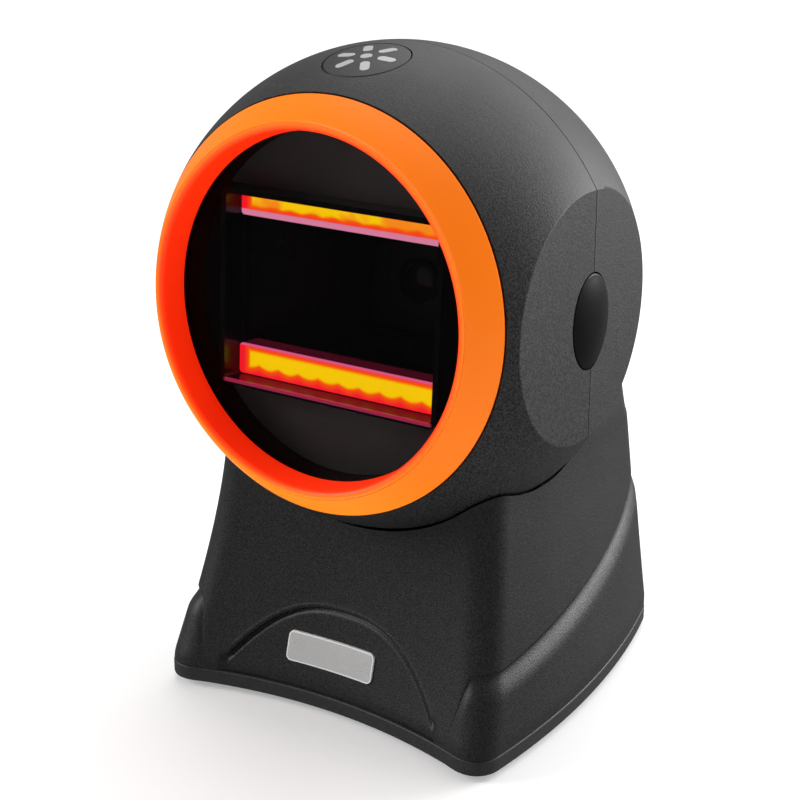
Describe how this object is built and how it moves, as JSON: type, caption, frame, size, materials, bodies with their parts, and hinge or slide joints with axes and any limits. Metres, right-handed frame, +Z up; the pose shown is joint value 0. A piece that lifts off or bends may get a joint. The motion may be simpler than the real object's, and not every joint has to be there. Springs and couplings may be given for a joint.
{
  "type": "desktop presentation barcode scanner",
  "caption": "Ball-headed hands-free barcode scanner with a recessed round window, tilting on a hidden yoke in a hollow weighted stand.",
  "frame": {"origin": "centre of the footprint on the table, under the bounding box", "axes": "+Z up; the scan window faces -Y; X is the tilt axis direction"},
  "size_m": [0.092, 0.1011, 0.1445],
  "materials": {
    "shell_black": "fine spark-textured ABS",
    "ring_orange": "satin moulded ABS",
    "window_clear": "polished, faintly red-tinted",
    "mask_grey": "smooth satin moulding",
    "chassis_black": "smooth moulded ABS",
    "diffuser_red": "translucent, lit from behind",
    "circuit_board": "solder mask",
    "chip_black": "moulded epoxy",
    "led_white": "clear epoxy",
    "lens_glass": "coated",
    "cap_black": "smooth satin ABS",
    "light_grey": "translucent light guide",
    "steel": "zinc plated",
    "yoke_steel": "stamped and plated",
    "washer_nylon": "natural nylon",
    "stand_black": "fine matte texture",
    "base_black": "fine matte texture",
    "rubber_black": "soft moulded",
    "cast_weight": "as cast, oiled",
    "plate_grey": "satin, blank",
    "socket_dark": "moulded nylon",
    "standoff_nylon": "natural nylon"
  },
  "bodies": {
    "stand": {"tilt_yoke": "yoke_steel", "yoke_screws": "steel", "stand_shell": "stand_black", "name_plate": "plate_grey", "base_plate": "base_black", "rubber_feet": "rubber_black", "base_screws": "steel", "ballast_weight": "cast_weight", "ballast_screws": "steel", "interface_board": "circuit_board", "interface_screws": "steel", "cable_socket": "socket_dark"},
    "head": {"head_front_shell": "shell_black", "head_rear_shell": "shell_black", "bezel_ring": "ring_orange", "window_pane": "window_clear", "window_mask": "mask_grey", "optics_chassis": "chassis_black", "upper_light_bar": "diffuser_red", "lower_light_bar": "diffuser_red", "upper_led_board": "circuit_board", "lower_led_board": "circuit_board", "led_chips": "led_white", "camera_housing": "chip_black", "lens_barrel": "chassis_black", "camera_lens": "lens_glass", "sensor_board": "circuit_board", "decoder_board": "circuit_board", "board_standoffs": "standoff_nylon", "board_screws": "steel", "processor_chip": "chip_black", "beeper": "chip_black", "lead_connector": "standoff_nylon", "crown_badge": "shell_black", "status_light_guide": "light_grey", "status_led_board": "circuit_board", "status_leds": "led_white", "side_cap_right": "cap_black", "side_cap_left": "cap_black", "pivot_screws": "steel", "pivot_nuts": "steel", "friction_washers": "washer_nylon", "chassis_screws": "steel", "head_shell_screws": "steel"}
  },
  "joints": [
    {"name": "head_tilt", "type": "hinge", "parent": "stand", "child": "head", "pos_m": [0, -0.01165, 0.0925], "axis": [-1, 0, 0], "range_deg": [-15, 15]}
  ]
}
